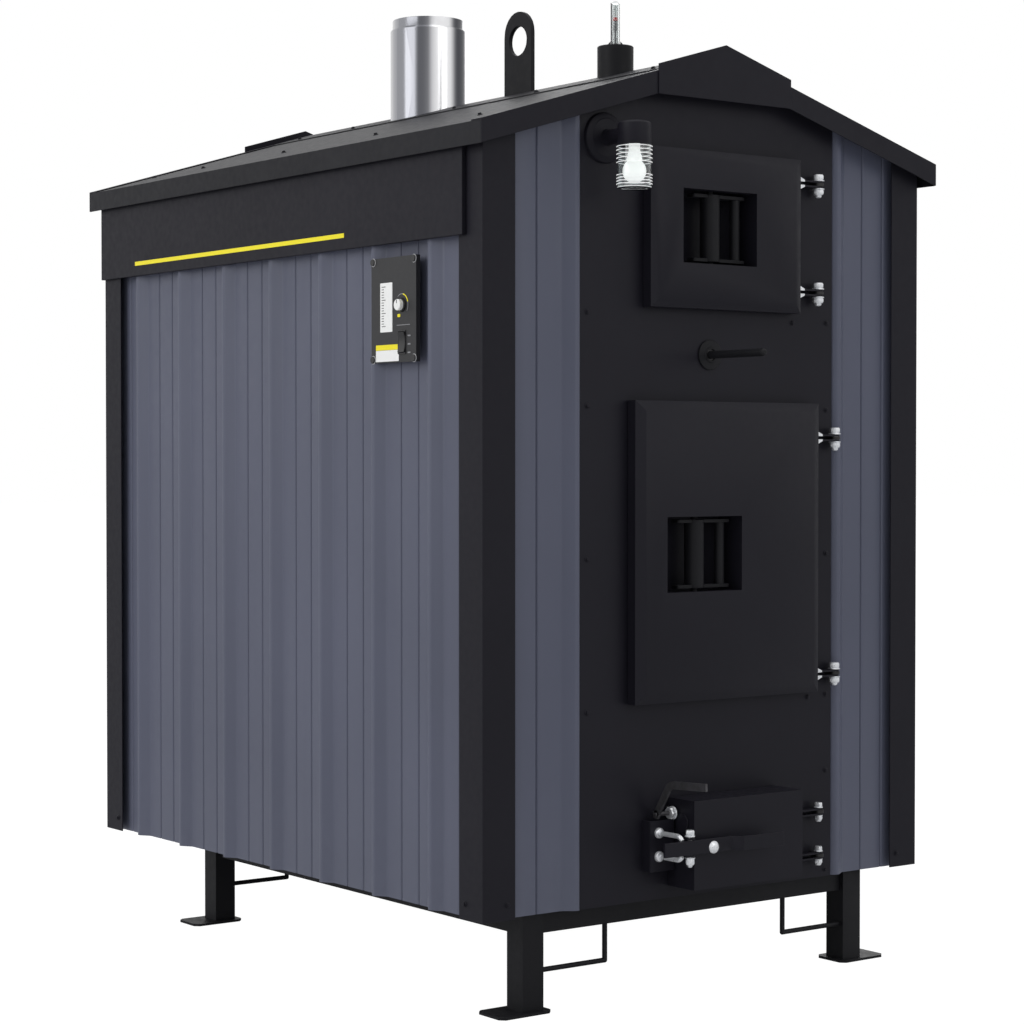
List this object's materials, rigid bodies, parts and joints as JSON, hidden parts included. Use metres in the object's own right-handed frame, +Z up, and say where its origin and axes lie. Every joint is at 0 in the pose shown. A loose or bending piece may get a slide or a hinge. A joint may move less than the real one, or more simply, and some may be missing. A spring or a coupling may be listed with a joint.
{
  "type": "outdoor wood boiler",
  "caption": "Ribbed steel house on legs with a gable roof, stacked front doors with pocket handles, a latched ash door, side controls, a lamp and a round chimney.",
  "frame": {"origin": "floor level under the middle of the whole object, so z 0 is the underside of the feet", "axes": "+Z up, the doors face -Y, +X is to the right of someone facing the doors"},
  "size_m": [1.391, 2.0237, 2.418],
  "materials": {
    "black_paint": "satin",
    "frame_black": "satin",
    "grey_sheet": "satin",
    "front_grey": "satin",
    "steel_plate": "matte",
    "cast_grate": "matte",
    "stainless": "polished",
    "zinc": "satin",
    "insulation_blanket": "matte",
    "gasket_rope": "matte",
    "red_marker": "gloss",
    "clear_glass": "gloss",
    "frosted_glass": "satin",
    "black_plastic": "satin",
    "white_plastic": "satin"
  },
  "bodies": {
    "house": {"front_panel": "black_paint", "corner_trim_front_left": "black_paint", "corner_trim_front_right": "black_paint", "corner_trim_rear_left": "black_paint", "corner_trim_rear_right": "black_paint", "side_band_left": "black_paint", "side_band_right": "black_paint", "roof_sheet_left": "black_paint", "roof_sheet_right": "black_paint", "ridge_cap": "black_paint", "rake_trim_front": "black_paint", "rake_trim_rear": "black_paint", "peak_plate_front": "black_paint", "peak_plate_rear": "black_paint", "vent_pipe": "black_paint", "ash_keeper": "black_paint", "lamp_base": "black_paint", "base_frame": "frame_black", "leg_front_left": "frame_black", "leg_front_right": "frame_black", "leg_rear_left": "frame_black", "leg_rear_right": "frame_black", "lifting_eye": "frame_black", "left_wall_sheet": "grey_sheet", "right_wall_sheet": "grey_sheet", "rear_wall_sheet": "grey_sheet", "front_left_sheet": "front_grey", "front_right_sheet": "front_grey", "water_tank": "steel_plate", "firebox": "steel_plate", "ash_pan": "steel_plate", "heat_exchanger": "steel_plate", "grate": "cast_grate", "chimney": "stainless", "upper_hinge_bolt_top": "zinc", "upper_hinge_bolt_bottom": "zinc", "main_hinge_bolt_top": "zinc", "main_hinge_bolt_bottom": "zinc", "ash_hinge_bolt_top": "zinc", "ash_hinge_bolt_bottom": "zinc", "insulation": "insulation_blanket", "gauge_tube": "clear_glass", "lamp_glass": "clear_glass", "lamp_bulb": "frosted_glass", "control_plate": "black_plastic"},
    "upper_door": {"upper_door": "black_paint", "upper_door_gasket": "gasket_rope"},
    "upper_handle": {"upper_door_handle": "frame_black"},
    "main_door": {"main_door": "black_paint", "main_door_gasket": "gasket_rope"},
    "main_handle": {"main_door_handle": "frame_black"},
    "ash_door": {"ash_door": "black_paint", "ash_door_gasket": "gasket_rope", "ash_latch_bolt": "zinc"},
    "ash_latch": {"ash_latch": "black_paint"},
    "draft_lever": {"draft_lever": "frame_black"},
    "bypass_rod": {"bypass_rod": "frame_black"},
    "float_rod": {"float_rod": "red_marker"},
    "dial_knob": {"dial_knob": "white_plastic"},
    "rocker_switch": {"rocker_switch": "black_plastic"}
  },
  "joints": [
    {"name": "upper_door_hinge", "type": "hinge", "parent": "house", "child": "upper_door", "pos_m": [0.318, -0.83178, 1.76475], "axis": [0, 0, 1], "range_deg": [0, 110]},
    {"name": "upper_handle_pivot", "type": "hinge", "parent": "upper_door", "child": "upper_handle", "pos_m": [-0.0115, -0.81378, 1.772], "axis": [0, 0, -1], "range_deg": [0, 35]},
    {"name": "main_door_hinge", "type": "hinge", "parent": "house", "child": "main_door", "pos_m": [0.3745, -0.83178, 1.006], "axis": [0, 0, 1], "range_deg": [0, 110]},
    {"name": "main_handle_pivot", "type": "hinge", "parent": "main_door", "child": "main_handle", "pos_m": [-0.058, -0.81378, 1.0195], "axis": [0, 0, -1], "range_deg": [0, 35]},
    {"name": "ash_door_hinge", "type": "hinge", "parent": "house", "child": "ash_door", "pos_m": [0.323, -0.83178, 0.33825], "axis": [0, 0, 1], "range_deg": [0, 110]},
    {"name": "ash_latch_pivot", "type": "hinge", "parent": "ash_door", "child": "ash_latch", "pos_m": [-0.16, -0.91958, 0.361], "axis": [0, 0, -1], "range_deg": [0, 65]},
    {"name": "draft_lever_pivot", "type": "hinge", "parent": "ash_door", "child": "draft_lever", "pos_m": [-0.16, -0.83857, 0.428], "axis": [-1, 0, 0], "range_deg": [0, 35]},
    {"name": "bypass_slide", "type": "slide", "parent": "house", "child": "bypass_rod", "axis": [0, 1, 0], "range_m": [0, 0.15]},
    {"name": "float_slide", "type": "slide", "parent": "house", "child": "float_rod", "axis": [0, 0, 1], "range_m": [-0.05, 0.03]},
    {"name": "dial_turn", "type": "hinge", "parent": "house", "child": "dial_knob", "pos_m": [-0.681, -0.52058, 1.586], "axis": [-1, 0, 0], "range_deg": [-135, 135]},
    {"name": "rocker_tilt", "type": "hinge", "parent": "house", "child": "rocker_switch", "pos_m": [-0.67275, -0.52158, 1.502], "axis": [0, 1, 0], "range_deg": [-10, 10]}
  ]
}
